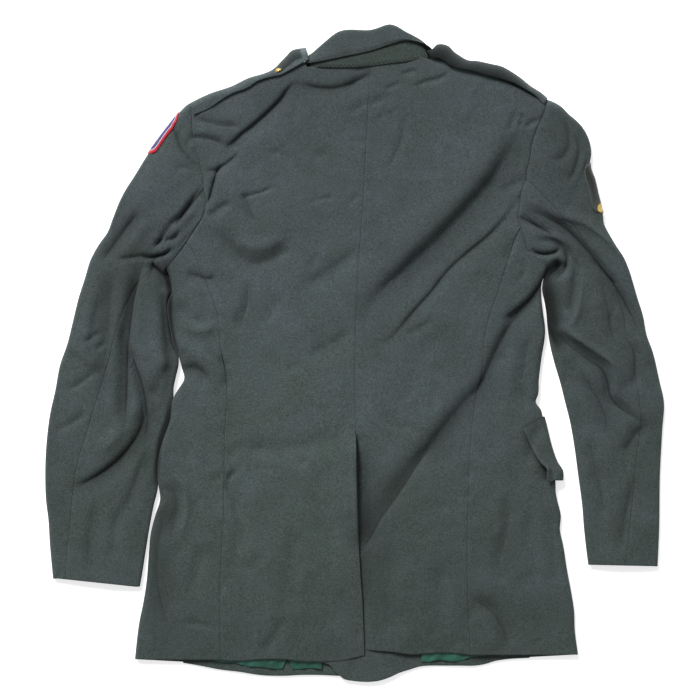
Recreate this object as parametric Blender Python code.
"""Army service coat, lying face down on a flat surface with its back up and its sleeves beside it.

Units are millimetres until a mesh is made. +X is the wearer's right, +Y points to the collar, +Z is up.
Every cloth piece is a wall: a grid of outer points and a grid of inner points WALL below them. Flat parts
of a piece are height fields over the plan, and its folded edges are half ellipses seen along the fold.
"""
import math
from collections import namedtuple

import bmesh
import bpy
import numpy as np

# ---- driving dimensions -------------------------------------------------------------------------
MM = 0.001
WALL = 2.0  # wool with the canvas and lining behind it
THIN = 1.4  # felt, top collar and other single layers
SEAM_GAP = 0.3
LAYER_GAP = 1.0  # between cloth layers that only lie on each other
SIDE_ROLL = 5.0  # how far a folded side edge is rounded, seen from above
CORNER_ROLL = 1.5  # the same where the side fold meets the sleeve's, at the foot of the armhole
SHOULDER_ROLL = 7.0
SLEEVE_ROLL = 5.5
BUTTON_RADIUS, BUTTON_HEIGHT = 11.0, 4.0
SMALL_BUTTON_RADIUS, SMALL_BUTTON_HEIGHT = 8.0, 4.5
VENT_TOP = -105.0
UNDERLAP = 45.0
LAP = 27.0  # each front passes the centre line by this much
ROLL_STEPS = 4  # facets round a folded edge

FLAP_GAP = 0.5  # between a pocket flap and the cloth under it
COLLAR_LIFT = 4.4  # the collar's front ends lie under the fronts
SIGN = {"left": -1, "right": 1}

# ---- the body, measured across at each level, hem first -----------------------------------------
Body = namedtuple("Body", "level left_side left_seam centre right_seam right_side side_height crown")
BODY = [
    Body(-395, -282, -172, 13, 148, 287, 9, 12.5),
    Body(-315, -270, -171, 10, 145, 280, 9, 13.5),
    Body(-264, -264, -171, 7, 145, 269, 10, 14),
    Body(-225, -260, -168, 5, 145, 263, 10, 14.5),
    Body(-187, -249, -167, 4, 146, 259, 10, 16),
    Body(-161, -252, -167, 3, 147, 259, 11, 17),
    Body(-110, -245, -166, 0, 149, 249, 11, 17),
    Body(-84, -236, -165, -1, 151, 243, 11, 16.5),
    Body(-59, -232, -163, -2, 153, 233, 11, 16.5),
    Body(-31, -218, -164, -1, 157, 236, 11, 16.5),
    Body(12, -232, -171, 0, 163, 241, 11, 16.5),
    Body(31, -236, -173, 1, 168, 244, 12, 16.5),
    Body(69, -239, -182, 3, 180, 240, 13, 17),
    Body(101, -237, -194, 4, 190, 241, 13, 17),
    Body(119, -238, -200, 5, 195, 245, 14, 17),
    Body(142, -236, -216, 7, 204, 246, 15, 17),
    Body(184, -236, -222, 10, 214, 246, 16, 18),
    Body(256, -236, -225, 14, 216, 246, 18, 18),
    Body(312, -236, -225, 17, 216, 246, 20, 19),
    Body(384, -236, -225, 19, 216, 246, 20, 20),
]

Point = namedtuple("Point", "x y")
# armhole seams, underarm first
ARMHOLE = {
    "left": [Point(-243, 113), Point(-236, 120), Point(-216, 142), Point(-198, 169), Point(-192, 191),
             Point(-193, 210), Point(-203, 261), Point(-208, 292), Point(-211, 321)],
    "right": [Point(245, 111), Point(237, 119), Point(225, 132), Point(212, 161), Point(210, 187),
              Point(217, 218), Point(227, 268), Point(240, 303), Point(248, 325)],
}
JUNCTION = {"left": 142, "right": 161}  # level where the side-back seam meets the armhole
# shoulder folds, neck end first
SHOULDER = {
    "left": [Point(-64, 374), Point(-134, 349), Point(-211, 321)],
    "right": [Point(103, 382), Point(173, 361), Point(248, 325)],
}
# back neck seam, from the centre; each side ends where its shoulder starts
NECK = {"left": [Point(19, 364), Point(-19, 366)], "right": [Point(19, 364), Point(50, 367)]}
BACK_HEM = {
    "left": [Point(13, -385), Point(-44, -393), Point(-89, -390), Point(-172, -390), Point(-281, -390)],
    "right": [Point(13, -379), Point(74, -385), Point(109, -384), Point(148, -387), Point(286, -384)],
}
FRONT_HEM = {
    "left": [Point(30, -412), Point(-21, -411), Point(-89, -411), Point(-147, -406), Point(-220, -394)],
    "right": [Point(-14, -415), Point(33, -416), Point(71, -403), Point(141, -397), Point(224, -388)],
}
CLOSE_TOP = 170.0  # level of the lapels' lowest point
HEM_SWING = 17.0  # the right front swings past the left one by this much more at the hem
FRONT_SEAM_IN = 62.0  # side-front seam, in from the side fold
HEM_CORNER = 24.0  # how far up the front edge its rounded hem corner starts
SEAM_EASE = 60.0  # how far below the armhole a side seam eases into it

# ---- sleeves: outer and inner silhouettes, where the elbow seam runs, and how high the tube lies --
Sleeve = namedtuple("Sleeve", "outer_x outer_y inner_x inner_y seam bow height")
SLEEVE = {
    "left": [
        Sleeve(-211, 321, -243, 113, 0.46, 1.0, 20), Sleeve(-234, 300, -246, 108, 0.58, 0.7, 20),
        Sleeve(-264, 257, -246, 102, 0.70, 0.35, 20), Sleeve(-295, 207, -245, 94, 0.72, 0.12, 18),
        Sleeve(-318, 151, -243, 82, 0.67, 0.03, 17), Sleeve(-341, 108, -242, 65, 0.62, 0, 16),
        Sleeve(-360, 44, -241, 36, 0.52, 0, 14), Sleeve(-377, -14, -233, -8, 0.43, 0, 13),
        Sleeve(-390, -78, -248, -61, 0.36, 0, 12), Sleeve(-396, -161, -254, -148, 0.24, 0, 11),
        Sleeve(-392, -225, -264, -225, 0.17, 0, 10), Sleeve(-386, -287, -275, -297, 0.10, 0, 10),
    ],
    "right": [
        Sleeve(248, 325, 245, 111, 0.46, 1.0, 20), Sleeve(272, 312, 249, 107, 0.51, 0.75, 20),
        Sleeve(298, 283, 251, 102, 0.55, 0.45, 20), Sleeve(303, 239, 251, 95, 0.50, 0.2, 18),
        Sleeve(318, 178, 250, 86, 0.36, 0.05, 17), Sleeve(340, 132, 248, 72, 0.27, 0, 16),
        Sleeve(363, 69, 246, 54, 0.22, 0, 14), Sleeve(378, 14, 250, 18, 0.21, 0, 13),
        Sleeve(396, -61, 267, -56, 0.23, 0, 12), Sleeve(394, -116, 282, -120, 0.24, 0, 11),
        Sleeve(390, -206, 292, -210, 0.36, 0, 10), Sleeve(388, -271, 299, -269, 0.45, 0, 10),
    ],
}
FOREARM_SEAM = 0.72  # across the underside of the sleeve, from its outer edge

# ---- the largest folds of the upper side: three points along each, half width, height ------------
Fold = namedtuple("Fold", "x0 y0 x1 y1 x2 y2 width height")
FOLDS = [
    Fold(212, 280, 135, 184, 20, 56, 26, -3.5),  # right shoulder to the small of the back
    Fold(218, 55, 148, -66, 10, -250, 24, -4.0),  # right side down to the vent
    Fold(-72, 344, -108, 318, -170, 267, 16, -3.0),  # left shoulder blade
    Fold(-190, 146, -160, 150, -70, 133, 22, -2.5),  # left armhole across the back
    Fold(-236, -187, -250, -260, -236, -360, 18, -3.0),  # left skirt
    Fold(150, -315, 185, -345, 195, -380, 18, -2.5),  # right skirt
    Fold(-270, 5, -272, -80, -340, -170, 20, -4.5),  # left elbow
    Fold(-263, 118, -285, 40, -290, -110, 18, 4.0),  # left forearm ridge
    Fold(-280, 174, -316, 133, -340, 100, 16, -4.0),  # left upper arm
    Fold(231, 182, 310, 142, 366, 50, 20, -5.0),  # right upper arm
    Fold(248, 37, 320, -30, 365, -82, 18, -4.0),  # right elbow
]


def smooth_step(value):
    value = np.clip(value, 0.0, 1.0)
    return value * value * (3.0 - 2.0 * value)


def hermite(knots, values, at):
    """A smooth curve through the values at rising knots, read at the given places."""
    knots, values = np.asarray(knots, float), np.asarray(values, float)
    slopes = np.gradient(values, knots)
    at = np.clip(np.asarray(at, float), knots[0], knots[-1])
    i = np.clip(np.searchsorted(knots, at, side="right") - 1, 0, len(knots) - 2)
    span = knots[i + 1] - knots[i]
    t = (at - knots[i]) / span
    start = (1 + 2 * t) * (1 - t) ** 2 * values[i] + t * (1 - t) ** 2 * span * slopes[i]
    return start + t * t * (3 - 2 * t) * values[i + 1] + t * t * (t - 1) * span * slopes[i + 1]


def body(column, level):
    return hermite([row.level for row in BODY], [getattr(row, column) for row in BODY], level)


def along(points, share):
    """The points at the given shares (0 to 1) of the way along a smooth curve through a few points."""
    points = np.array(points, float)
    steps = np.linalg.norm(np.diff(points, axis=0), axis=1)
    knots = np.concatenate([[0.0], np.cumsum(steps)]) / steps.sum()
    return np.stack([hermite(knots, points[:, k], share) for k in range(points.shape[1])], -1)


def level_point(points, level):
    """The point of a rising curve at each level (its y)."""
    points = np.array(points, float)
    return np.stack([hermite(points[:, 1], points[:, 0], level), np.asarray(level, float)], -1)


def fold_height(x, y):
    """Each fold is a soft trough or ridge along two straight runs, fading to nothing at both ends."""
    total = np.zeros_like(x)
    for f in FOLDS:
        corners = np.array([[f.x0, f.y0], [f.x1, f.y1], [f.x2, f.y2]], float)
        runs = np.diff(corners, axis=0)
        lengths = np.linalg.norm(runs, axis=1)
        nearest, share = np.full(x.shape, 1e9), np.zeros_like(x)
        for k in range(2):
            t = ((x - corners[k, 0]) * runs[k, 0] + (y - corners[k, 1]) * runs[k, 1]) / lengths[k] ** 2
            t = np.clip(t, 0, 1)
            away = np.hypot(x - corners[k, 0] - t * runs[k, 0], y - corners[k, 1] - t * runs[k, 1])
            closer = away < nearest
            nearest = np.where(closer, away, nearest)
            share = np.where(closer, (k * lengths[0] + t * lengths[k]) / lengths.sum(), share)
        total += f.height * np.exp(-((nearest / f.width) ** 2)) * np.sin(math.pi * share) ** 0.6
    return total


def body_top(plan):
    """Height of the coat's upper face over the plan: highest along the middle, lower at the side folds."""
    x, y = plan[..., 0], plan[..., 1]
    left, right = body("left_side", y), body("right_side", y)
    across = np.abs(2 * x - left - right) / (right - left)
    side, crown = body("side_height", y), body("crown", y)
    return crown - (crown - side) * np.clip(across, 0, 1) ** 3 + fold_height(x, y)


def pad(x, y, low_x, high_x, low_y, high_y, height, reach):
    """How far something flat under the cloth lifts it: its height over it, fading out round it."""
    dx = np.maximum(np.maximum(low_x - x, x - high_x), 0)
    dy = np.maximum(np.maximum(low_y - y, y - high_y), 0)
    return height * smooth_step(1 - np.hypot(dx, dy) / reach)


BUTTON_LEVELS = [-100, -15, 70, 155]
Box = namedtuple("Box", "low_x high_x low_y high_y")
FLAP = {"left": Box(-205, -75, -160, -90), "right": Box(107, 250, -160, -84)}
PAD_MARGIN = 55.0  # the cloth is lifted this far round a piece under it, before it slopes down


def left_edge(level):
    """The left front's free edge: down the closure, and slanting to the neck point above it."""
    slant = (level - CLOSE_TOP) / (SHOULDER["left"][0].y - CLOSE_TOP)
    return np.where(level < CLOSE_TOP, LAP, LAP + (SHOULDER["left"][0].x + 4 - LAP) * np.maximum(slant, 0))


def right_edge(level):
    slant = (level - CLOSE_TOP) / (SHOULDER["right"][0].y - CLOSE_TOP)
    return np.where(level < CLOSE_TOP, -LAP - HEM_SWING * smooth_step((-level - 100) / 250),
                    -LAP + (SHOULDER["right"][0].x - 4 + LAP) * np.maximum(slant, 0))


def front_bottom(plan, side):
    """Height of the coat's underside: flat on the surface, lifted by what is sewn on its outside."""
    x, y = plan[..., 0], plan[..., 1]
    lift = pad(x, y, -40, 40, -150, 200, BUTTON_HEIGHT + SEAM_GAP, 55)
    for box in FLAP.values():
        lift = np.maximum(lift, pad(x, y, box.low_x - PAD_MARGIN, box.high_x + PAD_MARGIN, box.low_y - PAD_MARGIN,
                                    box.high_y + PAD_MARGIN, WALL + FLAP_GAP, 40))
    mirrored = SIGN[side] * x
    lift = np.maximum(lift, pad(mirrored, y, 5, 170, 200, 350, THIN + 2 * SEAM_GAP, 25))
    lift = np.maximum(lift, pad(mirrored, y, 30, 125, 322, 390, COLLAR_LIFT, 25))
    if side == "right":
        over = smooth_step((left_edge(y) + 45 - x) / 30)
        lift = lift + (WALL + 1.6 * LAYER_GAP) * over
    return lift


# ---- meshes -------------------------------------------------------------------------------------
MATERIALS = {
    "wool": ((0.060, 0.078, 0.076), 0.9, 0.0),
    "felt": ((0.055, 0.070, 0.052), 0.95, 0.0),
    "lining": ((0.02, 0.14, 0.09), 0.45, 0.0),
    "gilt": ((0.80, 0.55, 0.18), 0.3, 1.0),
    "red_border": ((0.60, 0.01, 0.03), 0.8, 0.0),
    "badge": ((0.03, 0.05, 0.04), 0.85, 0.0),
}


def material(name):
    made = bpy.data.materials.get(name)
    if made is None:
        made = bpy.data.materials.new(name)
        made.use_nodes = True
        shader = made.node_tree.nodes["Principled BSDF"]
        colour, rough, metal = MATERIALS[name]
        shader.inputs["Base Color"].default_value = (*colour, 1.0)
        shader.inputs["Roughness"].default_value = rough
        shader.inputs["Metallic"].default_value = metal
    return made


def add_object(name, vertices, faces, finish):
    mesh = bpy.data.meshes.new(name)
    mesh.from_pydata([tuple(v * MM for v in vertex) for vertex in vertices], [], faces)
    shape = bmesh.new()
    shape.from_mesh(mesh)
    bmesh.ops.recalc_face_normals(shape, faces=shape.faces)
    if shape.calc_volume(signed=True) < 0:
        bmesh.ops.reverse_faces(shape, faces=shape.faces)
    shape.to_mesh(mesh)
    shape.free()
    mesh.shade_smooth()
    mesh.set_sharp_from_angle(angle=math.radians(40))
    made = bpy.data.objects.new(name, mesh)
    made.data.materials.append(material(finish))
    bpy.context.collection.objects.link(made)
    return made


def add_wall(name, outer, inner, finish):
    """A closed wall between two grids of points, with a rim all round. Both faces are split along the
    same diagonals, so that walls made from the same points stay an even distance apart."""
    rows, columns = outer.shape[:2]
    count = rows * columns
    index = np.arange(count).reshape(rows, columns)
    faces = []
    for i in range(rows - 1):
        for j in range(columns - 1):
            a, b, c, d = (int(k) for k in (index[i, j], index[i, j + 1], index[i + 1, j + 1], index[i + 1, j]))
            faces += [[a, b, c], [a, c, d]]
            faces += [[c + count, b + count, a + count], [d + count, c + count, a + count]]
    rim = [*index[0, :], *index[1:, -1], *index[-1, -2::-1], *index[-2:0:-1, 0]]
    for k, here in enumerate(rim):
        after = rim[(k + 1) % len(rim)]
        faces.append([int(after), int(here), int(here) + count, int(after) + count])
    vertices = np.concatenate([outer.reshape(-1, 3), inner.reshape(-1, 3)])
    return add_object(name, vertices.tolist(), faces, finish)


class Cloth:
    """A grid of cloth points: the centre of each point's fold in plan, the fold's outward reach and
    direction, the angle round it (90 on top, 0 at the edge, -90 beneath), and both faces' heights."""

    def __init__(self, plan, reach, angle, top, bottom):
        self.plan, self.reach = np.array(plan, float), np.array(reach, float)
        self.angle = np.radians(np.array(angle, float))
        self.top, self.bottom = np.array(top, float), np.array(bottom, float)

    def points(self, depth=0.0):
        """The points at a depth under the outer face; a negative depth stands proud of it."""
        size = np.linalg.norm(self.reach, axis=-1)
        share = np.where(size > 0, (size - depth) / np.maximum(size, 1e-9), 1.0)
        flat = self.plan + self.reach * (share * np.cos(self.angle))[..., None]
        middle, half = (self.top + self.bottom) / 2, (self.top - self.bottom) / 2
        return np.concatenate([flat, (middle + (half - depth) * np.sin(self.angle))[..., None]], -1)

    def part(self, rows, columns):
        pick = np.ix_(rows, columns)
        return Cloth(self.plan[pick], self.reach[pick], np.degrees(self.angle[pick]),
                     self.top[pick], self.bottom[pick])

    def trimmed(self, sides="tblr"):
        """The same cloth with its edges drawn in by half a seam gap: t, b, l, r name the edges."""
        plan = self.plan.copy()
        for side, edge, inside in (("t", (0, slice(None)), (1, slice(None))),
                                   ("b", (-1, slice(None)), (-2, slice(None))),
                                   ("l", (slice(None), 0), (slice(None), 1)),
                                   ("r", (slice(None), -1), (slice(None), -2))):
            if side in sides:
                way = self.points()[inside][:, :2] - self.points()[edge][:, :2]
                size = np.maximum(np.linalg.norm(way, axis=-1), 1e-9)[:, None]
                plan[edge] = plan[edge] + way / size * SEAM_GAP * 0.7
        return Cloth(plan, self.reach, np.degrees(self.angle), self.top, self.bottom)


def add_cloth(name, cloth, finish="wool", wall=WALL):
    return add_wall(name, cloth.points(), cloth.points(wall), finish)


def blend(top, bottom, inner, outer, u, v):
    """The plan of a four-sided panel, blended from its four edges; u runs along the top, v down."""
    u, v = u[None, :, None], v[:, None, None]
    flat = (1 - v) * top[None] + v * bottom[None] + (1 - u) * inner[:, None] + u * outer[:, None]
    return flat - ((1 - u) * (1 - v) * top[0] + u * (1 - v) * top[-1]
                   + (1 - u) * v * bottom[0] + u * v * bottom[-1])


def unit(vector):
    return vector / np.linalg.norm(vector, axis=-1, keepdims=True)


# ---- panels -------------------------------------------------------------------------------------
ARM_ROWS = 6  # rows of the back and front panels beside the armhole
SKIRT_ROWS = 11  # rows below it
TOP_COLUMNS = 9
UNDERARM_COLUMNS = 3
ROLL_ANGLES = np.linspace(90, -90, ROLL_STEPS + 1)


def shoulder_base(side, share):
    """Where the rounded shoulder fold starts, in from its outline, and the way out from there."""
    line = along(SHOULDER[side], share)
    step = along(SHOULDER[side], np.clip(share + 0.01, 0, 1)) - along(SHOULDER[side], np.clip(share - 0.01, 0, 1))
    out = unit(np.stack([-step[..., 1], step[..., 0]], -1))
    out = out * np.sign(out[..., 1:2])
    return line - out * SHOULDER_ROLL, out * SHOULDER_ROLL


def arm_levels(side):
    tip = shoulder_base(side, np.array([1.0]))[0][0, 1]
    return np.linspace(tip, JUNCTION[side], ARM_ROWS)


def panel_levels(side, hem):
    """Levels of a panel's rows at its outer edge: down the armhole, then down the side-back seam."""
    return np.concatenate([arm_levels(side), np.linspace(JUNCTION[side], hem, SKIRT_ROWS)[1:]])


def outer_line(side, levels, above):
    arm = level_point(ARMHOLE[side], levels)
    below = np.stack([seam_line(side, levels, above), levels], -1)
    return np.where((levels >= JUNCTION[side] - 1e-6)[:, None], arm, below)


def back_panel(side):
    top_share = np.linspace(0, 1, TOP_COLUMNS)
    neck_share = 0.375
    base = shoulder_base(side, np.clip((top_share - neck_share) / (1 - neck_share), 0, 1))[0]
    neck = along([*NECK[side], Point(*base[0])], np.clip(top_share / neck_share, 0, 1))
    top = np.where((top_share <= neck_share)[:, None], neck, base)
    hem = along(BACK_HEM[side][:4], top_share)
    levels = panel_levels(side, hem[-1, 1])
    outer = outer_line(side, levels, True)
    outer[0], outer[-1] = top[-1], hem[-1]
    drop = (levels - levels[0]) / (levels[-1] - levels[0])
    centre_levels = top[0, 1] + drop * (hem[0, 1] - top[0, 1])
    inner = np.stack([body("centre", centre_levels), centre_levels], -1)
    plan = blend(top, hem, inner, outer, top_share, drop)
    height = body_top(plan)
    if side == "right":  # the right back lies a little under the left one along the vent
        edge = body("centre", plan[..., 1])
        beside = smooth_step((edge + 14 - plan[..., 0]) / 12)
        height = height - UNDERLAP_DROP * beside * smooth_step((VENT_TOP + 20 - plan[..., 1]) / 20)
    flat = np.zeros_like(plan)
    return Cloth(plan, flat, np.full(plan.shape[:2], 90.0), height, np.zeros_like(height))


def seam_line(side, level, above):
    """Across at a level: the side-back seam on the upper side, or the side-front seam beneath, each
    eased into the point where it meets the armhole."""
    raw = body(side + "_seam", level) if above else body(side + "_side", level) - SIGN[side] * FRONT_SEAM_IN
    start = level_point(ARMHOLE[side], np.array([float(JUNCTION[side])]))[0, 0]
    first = (body(side + "_seam", JUNCTION[side]) if above
             else body(side + "_side", JUNCTION[side]) - SIGN[side] * FRONT_SEAM_IN)
    return raw + (start - first) * np.exp(-np.maximum(JUNCTION[side] - level, 0) / SEAM_EASE)


def underarm_line(side):
    """The armhole from the junction down to the side fold, with the way out of the fold there."""
    tip = np.array(ARMHOLE[side][0], float)
    out = unit(np.array([SIGN[side] * 0.3, -0.95])) * CORNER_ROLL
    levels = np.linspace(JUNCTION[side], (tip - out)[1], UNDERARM_COLUMNS + 1)
    line = level_point(ARMHOLE[side], levels)
    line[-1] = tip - out
    return line, out


def side_panel(side):
    line, corner_out = underarm_line(side)
    columns = np.linspace(0, 1, UNDERARM_COLUMNS + 1)
    rows = np.linspace(0, 1, SKIRT_ROWS)
    hem_level = BACK_HEM[side][3].y
    bottom_hem = FRONT_HEM[side][-1].y

    def layer(above, hem_at_seam):
        plan = np.zeros((len(rows), len(columns), 2))
        hem = hem_at_seam + (hem_level - hem_at_seam) * columns
        for i, share in enumerate(rows):
            level = line[:, 1] + share * (hem - line[:, 1])
            seam = seam_line(side, level, above)
            edge = body(side + "_side", level) - SIGN[side] * SIDE_ROLL
            straight = (1 - columns) * seam + columns * edge
            start_edge = body(side + "_side", line[:, 1]) - SIGN[side] * SIDE_ROLL
            start = (1 - columns) * seam_line(side, line[:, 1], above) + columns * start_edge
            plan[i] = np.stack([straight + (line[:, 0] - start) * math.exp(-12 * share), level], -1)
        return plan

    above = layer(True, hem_level)
    beneath = layer(False, bottom_hem)
    fold = above[:, -1:, :].repeat(ROLL_STEPS - 1, 1)
    plan = np.concatenate([above, fold, beneath[:, ::-1]], 1)
    turn = np.exp(-9 * rows)[:, None]
    out = turn * corner_out + (1 - turn) * np.array([SIGN[side] * SIDE_ROLL, 0.0])
    reach = np.repeat(out[:, None], plan.shape[1], 1)
    angle = np.concatenate([np.full(len(columns), 90.0), ROLL_ANGLES[1:-1], np.full(len(columns), -90.0)])
    angle = np.repeat(angle[None], len(rows), 0)
    return Cloth(plan, reach, angle, body_top(plan), front_bottom(plan, side))


NECK_POINT = 0.06  # share of the shoulder that the collar covers before the front's own neck point
FRONT_SHARES = {"left": np.array([0, 0.21, 0.38, 0.58, 0.79, 1.0]),
                "right": np.array([0, 0.31, 0.46, 0.62, 0.80, 1.0])}


def front_panel(side):
    share = FRONT_SHARES[side]
    base, out = shoulder_base(side, NECK_POINT + (1 - NECK_POINT) * share)
    hem = along(FRONT_HEM[side], share)
    levels = panel_levels(side, hem[-1, 1])
    outer = outer_line(side, levels, False)
    outer[0], outer[-1] = base[-1], hem[-1]
    drop = (levels - levels[0]) / (levels[-1] - levels[0])
    inner_levels = base[0, 1] + drop * (hem[0, 1] - base[0, 1])
    edge = left_edge if side == "left" else right_edge
    inner = np.stack([edge(inner_levels), inner_levels], -1)
    inner[0], inner[-1] = base[0], hem[0]
    inner[-2, 1] = hem[0, 1] + HEM_CORNER
    plan = blend(base, hem, inner, outer, share, drop)
    roll = np.repeat(base[None], ROLL_STEPS, 0)
    plan = np.concatenate([roll, plan])
    reach = np.concatenate([np.repeat(out[None], ROLL_STEPS + 1, 0), np.zeros_like(plan[ROLL_STEPS + 1:])])
    angle = np.concatenate([ROLL_ANGLES, np.full(len(drop) - 1, -90.0)])
    angle = np.repeat(angle[:, None], len(share), 1)
    return Cloth(plan, reach, angle, body_top(plan), front_bottom(plan, side))


def sleeve_ring(side):
    """The armhole as one ring of points: over the top from the shoulder, round the underarm, and back
    beneath, with the shares of the way across the sleeve that its points keep."""
    base, out = shoulder_base(side, np.array([1.0]))
    arm = level_point(ARMHOLE[side], arm_levels(side))
    arm[0] = base[0]
    line, corner_out = underarm_line(side)
    across = np.concatenate([arm, line[1:]])
    first, last = np.array(ARMHOLE[side][-1], float), np.array(ARMHOLE[side][0], float)
    chord = last - first
    share = (across - first) @ chord / (chord @ chord)
    return across, share, out[0], corner_out


def edge_way(line, sign_x, sign_y, near, start):
    """The way out of a sleeve's folded edge: square to the edge, turning out of the armhole's own way."""
    travel = np.gradient(line, axis=0)
    square = unit(np.stack([travel[:, 1], -travel[:, 0]], -1))
    square *= np.sign(square[:, :1] * sign_x + square[:, 1:] * sign_y)
    way = unit((1 - near) * unit(start) + near * square) * SLEEVE_ROLL
    way[0] = start
    return way


UNDERARM_SWELL = 12.5  # the rings bend outward before they meet the sleeve's inner edge
SLEEVE_STATIONS = [0, 0.8, 1.9, 3, 4, 5, 6, 6.75, 7.5, 8.25, 9, 10, 11]


def sleeve_tube(side):
    """The whole sleeve as rings of points from the armhole to the cuff, starting at the elbow seam and
    going over the outer edge, beneath, and back over the inner edge to the elbow seam."""
    rows = SLEEVE[side]
    across, share, tip_out, corner_out = sleeve_ring(side)
    seam_index = int(np.argmin(np.abs(share - rows[0].seam)))
    knots = np.arange(len(rows), dtype=float)
    stations = np.array(SLEEVE_STATIONS)
    read = {name: hermite(knots, [getattr(row, name) for row in rows], stations) for name in Sleeve._fields}
    outer = np.stack([read["outer_x"], read["outer_y"]], -1)
    inner = np.stack([read["inner_x"], read["inner_y"]], -1)
    chord = np.array([rows[0].inner_x - rows[0].outer_x, rows[0].inner_y - rows[0].outer_y], float)
    start = np.array([rows[0].outer_x, rows[0].outer_y], float)
    bow = across - (start + share[:, None] * chord)
    near = smooth_step(stations / 2.5)[:, None]
    outer_out = edge_way(outer, SIGN[side], 1.0, near, tip_out)
    inner_out = (1 - near) * corner_out + near * np.array([-SIGN[side] * SLEEVE_ROLL, 0.0])
    first_row, last_row = outer - outer_out, inner - inner_out
    plan = np.zeros((len(stations), len(share), 2))
    for k, seam in enumerate(read["seam"]):
        outside = (share[: seam_index + 1] - share[0]) / (share[seam_index] - share[0]) * seam
        inside = seam + (share[seam_index:] - share[seam_index]) / (share[-1] - share[seam_index]) * (1 - seam)
        even = np.concatenate([outside, inside[1:]])
        plan[k] = first_row[k] + even[:, None] * (last_row[k] - first_row[k]) + bow * read["bow"][k]
        swell = UNDERARM_SWELL * math.sin(math.pi * min(stations[k] / 7, 1.0))
        inward = np.clip((share - share[seam_index]) / (share[-1] - share[seam_index]), 0, 1)
        plan[k] += np.sin(math.pi * inward)[:, None] * np.array([SIGN[side] * swell, -swell * 0.3])
    plan[0] = across
    seam_top = body_top(across)
    own = read["height"][:, None] + fold_height(plan[..., 0], plan[..., 1])
    top = (1 - near) * seam_top[None] + near * own
    patch_lift = sleeve_lift(plan, side)
    return plan, outer_out, inner_out, top, patch_lift, seam_index


PATCH_WALL, PATCH_GAP = 1.2, 0.5
PATCH_CENTRE = {"left": (-250, 272), "right": (300, 222)}


def sleeve_lift(plan, side):
    x, y = PATCH_CENTRE[side]
    return pad(plan[..., 0], plan[..., 1], x - 90, x + 90, y - 90, y + 90, PATCH_WALL + PATCH_GAP, 60)


def sleeve_half(side, outer_half):
    """One of the sleeve's two panels: the top sleeve over the outer edge, or the under sleeve."""
    plan, outer_out, inner_out, top, bottom, seam = sleeve_tube(side)
    count = plan.shape[1]
    forearm = int(round(FOREARM_SEAM * (count - 1)))
    if outer_half:
        over, under, out, edge = range(seam, -1, -1), range(0, forearm + 1), outer_out, 0
    else:
        over, under, out, edge = range(seam, count), range(count - 1, forearm - 1, -1), inner_out, count - 1
    order = [*over, *[edge] * (ROLL_STEPS - 1), *under]
    angle = np.concatenate([np.full(len(over), 90.0), ROLL_ANGLES[1:-1], np.full(len(under), -90.0)])
    rows = plan.shape[0]
    reach = np.repeat(out[:, None], len(order), 1)
    flat = np.abs(angle) > 89.9
    reach[:, flat] = 0
    return Cloth(plan[:, order], reach, np.repeat(angle[None], rows, 0), top[:, order], bottom[:, order])


# ---- collar: stations from its left front end round the back of the neck to its right front end ---
Collar = namedtuple("Collar", "neck_x neck_y neck_z roll_x roll_y roll_z edge_x edge_y edge_z gap")
COLLAR = [
    Collar(-38, 352, 4.4, -30, 354, 4.2, -70, 343, 3, 1.0),
    Collar(-49, 362, 4.8, -46, 374, 4.6, -66, 357, 3.6, 1.0),
    Collar(-55, 368, 10.5, -52, 391, 10.5, -63, 375, 10, 1.0),
    Collar(-49, 369, 16.2, -46, 400, 16.6, -53, 381, 20, 2.4),
    Collar(-20, 368, 17.5, -23, 411, 21, -20, 380, 26, 4.8),
    Collar(20, 366, 18, 21, 414, 22, 20, 387, 26, 4.8),
    Collar(45, 369, 18, 46, 418, 22, 45, 396, 26, 4.8),
    Collar(66, 373, 17.5, 66, 412, 21, 66, 400, 25, 4.4),
    Collar(87, 376, 16.2, 84, 402, 16.6, 91, 395, 19.5, 2.4),
    Collar(93, 377, 10.5, 90, 395, 10.5, 101, 384, 10, 1.0),
    Collar(87, 370, 4.8, 84, 379, 4.6, 106, 366, 3.6, 1.0),
    Collar(76, 357, 4.4, 70, 360, 4.2, 108, 352, 3, 1.0),
]
COLLAR_STATIONS = [0, 1, 1.5, 2, 2.5, 3, 3.5, 4, 5, 6, 7, 7.5, 8, 8.5, 9, 9.5, 10, 11]
COLLAR_WALL = 1.0  # of the felt and of the top collar
COLLAR_GAP = 0.7  # between them


def collar_face(offset):
    """The collar's folded surface at an offset out of its hollow. Each station is a narrow hairpin: up
    the stand from the neck seam, half a turn round the roll, and down the fall to its free edge."""
    knots = np.arange(len(COLLAR), dtype=float)
    stations = np.array(COLLAR_STATIONS, float)
    read = {name: hermite(knots, [getattr(row, name) for row in COLLAR], stations) for name in Collar._fields}
    neck, roll, edge = (np.stack([read[part + axis] for axis in ("_x", "_y", "_z")], -1)
                        for part in ("neck", "roll", "edge"))
    travel = np.gradient(neck + roll, axis=0)
    up = unit(np.stack([-travel[:, 2], np.zeros(len(travel)), travel[:, 0]], -1))
    tip = roll - (neck + edge) / 2
    tip = unit(tip - (tip * up).sum(-1, keepdims=True) * up)
    half = (read["gap"] / 2)[:, None]
    centre = roll - tip * (half + 2 * COLLAR_WALL + COLLAR_GAP)
    stand_top, fall_top = centre - up * half, centre + up * half
    grid = [neck + share * (stand_top - neck) - up * offset for share in (0.0, 0.45, 0.9)]
    for turn in (-60, -20, 20, 60):
        angle = math.radians(turn)
        grid.append(centre + (half + offset) * (up * math.sin(angle) + tip * math.cos(angle)))
    grid += [fall_top + share * (edge - fall_top) + up * offset for share in (0.1, 0.55, 1.0)]
    return np.stack(grid, 1)


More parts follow.
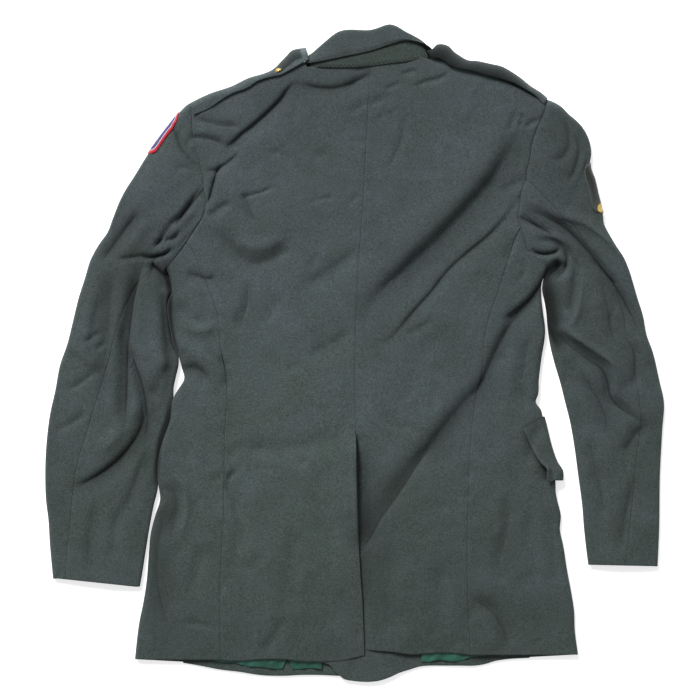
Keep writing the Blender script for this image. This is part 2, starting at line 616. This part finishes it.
def add_collar():
    top_in = COLLAR_WALL + COLLAR_GAP
    add_wall("under_collar", collar_face(COLLAR_WALL), collar_face(0.0), "felt")
    add_wall("collar", collar_face(top_in + COLLAR_WALL), collar_face(top_in), "wool")


# ---- small pieces -------------------------------------------------------------------------------
def add_dome(name, centre, radius, height, out, finish="gilt"):
    """A low domed button: rings from its flat back to its crown, turned about the way it faces."""
    out = unit(np.array(out, float))
    side = unit(np.cross(out, [1.0, 0.0, 0.0]))
    other = np.cross(out, side)
    profile = [(0.82, 0.0), (1.0, 0.25), (0.97, 0.5), (0.7, 0.88), (0.35, 1.0)]
    around = np.radians(np.arange(0, 360, 30))
    vertices, faces = [], []
    for share, rise in profile:
        for angle in around:
            place = side * math.cos(angle) + other * math.sin(angle)
            vertices.append(np.array(centre) + place * radius * share + out * height * rise)
    count = len(around)
    for ring in range(len(profile) - 1):
        for k in range(count):
            after = (k + 1) % count
            low, high = ring * count, (ring + 1) * count
            faces.append([low + k, low + after, high + after, high + k])
    faces.append(list(range(count))[::-1])
    faces.append([(len(profile) - 1) * count + k for k in range(count)])
    return add_object(name, [v.tolist() for v in vertices], faces, finish)


def add_slab(name, plan, low, high, finish):
    """A flat piece between two heights over a grid in plan."""
    def lifted(z):
        return np.concatenate([plan, np.full(plan.shape[:2] + (1,), z)], -1)
    return add_wall(name, lifted(high), lifted(low), finish)


Loop = namedtuple("Loop", "share reach top_edge under_angle")
LOOP = {  # from the neck end to the armhole: how far it stands out, how far it reaches onto the back
    "left": [Loop(0.0, 14, 3, -5), Loop(0.09, 20, 6, -10), Loop(0.17, 15, 6, -20), Loop(0.25, 8.5, 4, -45),
             Loop(0.43, 7.4, 3, -50), Loop(0.62, 7.2, 4, -50), Loop(0.81, 7.2, 6, -50), Loop(0.985, 7.2, 8, -50)],
    "right": [Loop(0.0, 11, 5, -5), Loop(0.08, 17, 8, -10), Loop(0.16, 13, 8, -25), Loop(0.28, 8.5, 6, -45),
              Loop(0.45, 9.0, 6, -50), Loop(0.63, 9.0, 4, -50), Loop(0.81, 7.6, 3, -50), Loop(0.985, 7.2, 4, -50)],
}
LOOP_WALL, LOOP_GAP = 2.2, 0.7


def shoulder_loop(side):
    """A strap laid over the shoulder fold: its upper edge lies on the back, its lower one hangs round."""
    rows = LOOP[side]
    share = np.array([row.share for row in rows])
    base, out = shoulder_base(side, share)
    way = unit(out)
    count = 6
    plan = np.repeat(base[:, None], count + 1, 1)
    plan[:, 0] -= way * np.array([row.top_edge for row in rows])[:, None]
    reach = np.repeat((way * np.array([row.reach for row in rows])[:, None])[:, None], count + 1, 1)
    reach[:, 0] = 0
    angle = np.array([[90.0, *np.linspace(90, row.under_angle, count)] for row in rows])
    return Cloth(plan, reach, angle, body_top(plan), np.zeros(plan.shape[:2]))


def add_loop(side):
    strap = shoulder_loop(side)
    add_wall("shoulder_loop_" + side, strap.points(-LOOP_GAP - LOOP_WALL), strap.points(-LOOP_GAP), "wool")
    row = 3
    way = unit(strap.reach[row, -1])
    turn = math.radians(32 if side == "left" else 5)
    out = np.array([way[0] * math.cos(turn), way[1] * math.cos(turn), math.sin(turn)])
    size = np.linalg.norm(strap.reach[row, -1]) + LOOP_GAP + LOOP_WALL + SEAM_GAP
    middle, half = strap.top[row, 1] / 2, strap.top[row, 1] / 2 + LOOP_GAP + LOOP_WALL + SEAM_GAP
    place = strap.plan[row, 1] + way * size * math.cos(turn)
    centre = np.array([place[0], place[1], middle + half * math.sin(turn)])
    add_dome("loop_button_" + side, centre + out * 1.8, SMALL_BUTTON_RADIUS, SMALL_BUTTON_HEIGHT, out)


Hip = namedtuple("Hip", "level rear stand_out")
HIP_FLAP = [Hip(-84, 222, 1.5), Hip(-100, 219, 1.5), Hip(-118, 226, 3), Hip(-136, 242, 6), Hip(-160, 250, 7.5)]


def add_flaps():
    """The right flap wraps round the hip onto the back; the left one lies wholly under its front."""
    levels = np.array([row.level for row in HIP_FLAP], float)
    rear = np.array([row.rear for row in HIP_FLAP], float)
    fold = body("right_side", levels) - SIDE_ROLL
    rear = np.minimum(rear, fold - 3)
    under = [fold + share * (FLAP["right"].low_x - fold) for share in (0.0, 0.33, 0.67, 1.0)]
    across = [rear, (rear + fold) / 2, fold, fold, fold, fold, *under]
    plan = np.stack([np.stack([x, levels], -1) for x in across], 1)
    stand_out = np.array([row.stand_out for row in HIP_FLAP])
    reach = np.zeros_like(plan)
    reach[:, 2:7, 0] = (SIDE_ROLL + stand_out)[:, None]
    angle = np.repeat([[90.0, 90, 90, 45, 0, -45, -90, -90, -90, -90]], len(levels), 0)
    flap = Cloth(plan, reach, angle, body_top(plan), front_bottom(plan, "right"))
    add_wall("pocket_flap_right", flap.points(-FLAP_GAP - WALL), flap.points(-FLAP_GAP), "wool")
    box = FLAP["left"]
    xs, ys = np.linspace(box.low_x, box.high_x, 4), np.linspace(box.low_y, box.high_y, 3)
    plan = np.stack(np.meshgrid(xs, ys), -1)
    add_slab("pocket_flap_left", plan, 0.0, WALL, "wool")


Lapel = namedtuple("Lapel", "level width")
LAPEL = [Lapel(234, 6), Lapel(262, 36), Lapel(292, 66), Lapel(318, 84), Lapel(328, 70)]


def add_lapel(side):
    levels = np.array([row.level for row in LAPEL], float)
    width = np.array([row.width for row in LAPEL], float)
    fold = left_edge(levels) if side == "left" else right_edge(levels)
    columns = np.linspace(0, 1, 4)
    x = (fold + SIGN[side])[:, None] + SIGN[side] * width[:, None] * columns
    plan = np.stack([x, np.repeat(levels[:, None], 4, 1)], -1)
    add_slab("lapel_" + side, plan, 0.0, THIN, "wool")


LINING_WALL, LINING_RISE, LINING_COLUMNS = 1.0, 45.0, 6
LINING = {"left": (-205, -42, 7.0), "right": (86, 205, 5.0)}  # from, to, and how far above the hem


def add_lining(side):
    low, high, above_hem = LINING[side]
    x = np.linspace(low, high, LINING_COLUMNS)
    hem = np.array(FRONT_HEM[side], float)
    hem = hem[np.argsort(hem[:, 0])]
    edge = np.interp(x, hem[:, 0], hem[:, 1]) + above_hem
    plan = np.stack([np.stack([x, edge + rise], -1) for rise in (0.0, LINING_RISE / 2, LINING_RISE)])
    lie = front_bottom(plan, side) + WALL + SEAM_GAP + 0.2

    def face(lift):
        return np.concatenate([plan, (lie + lift)[..., None]], -1)
    add_wall("lining_" + side, face(LINING_WALL), face(0.0), "lining")


UNDERLAP_DROP = 0.9  # the right back lies this much lower beside the vent's edge


def add_underlap():
    """The vent's under side: it hangs from the right back's edge and lies under the left back."""
    levels = np.linspace(VENT_TOP - 4, -377, 8)
    edge = body("centre", levels)
    plan = np.stack([np.stack([edge + step, levels], -1) for step in (-UNDERLAP, -UNDERLAP / 2, 0, 10)], 1)
    top = body_top(plan) - WALL - UNDERLAP_DROP - 2 * SEAM_GAP

    def face(drop):
        return np.concatenate([plan, (top - drop)[..., None]], -1)
    add_wall("vent_underlap", face(0.0), face(THIN), "wool")


def add_badges(sleeves):
    """Sewn-on patches over the outer fold of each top sleeve, made from the sleeve's own points."""
    for name, side, rows, finish in (("sleeve_patch_left", "left", [1, 2], "red_border"),
                                     ("sleeve_badge_right", "right", [3, 4], "badge")):
        cloth = sleeves[side]
        first = int(np.argmax(np.degrees(cloth.angle[0]) < 89)) - 1
        columns = list(range(first, first + ROLL_STEPS + 3))
        piece = cloth.part(rows, columns)
        add_wall(name, piece.points(-PATCH_WALL - PATCH_GAP), piece.points(-PATCH_GAP), finish)


def build():
    for old in list(bpy.data.objects):
        bpy.data.objects.remove(old, do_unlink=True)

    sleeves = {}
    for side in ("left", "right"):
        add_cloth("back_" + side, back_panel(side).trimmed())
        add_cloth("side_panel_" + side, side_panel(side).trimmed("tlr"))
        add_cloth("front_" + side, front_panel(side).trimmed("tr"))
        sleeves[side] = sleeve_half(side, True).trimmed("tlr")
        add_cloth("top_sleeve_" + side, sleeves[side])
        add_cloth("under_sleeve_" + side, sleeve_half(side, False).trimmed("tlr"))
        add_loop(side)
        add_lapel(side)
        add_lining(side)
    add_underlap()
    add_collar()
    add_flaps()
    add_badges(sleeves)
    for k, level in enumerate(BUTTON_LEVELS):
        add_dome("front_button_%d" % (k + 1), (0, level, BUTTON_HEIGHT), BUTTON_RADIUS, BUTTON_HEIGHT, (0, 0, -1))


build()
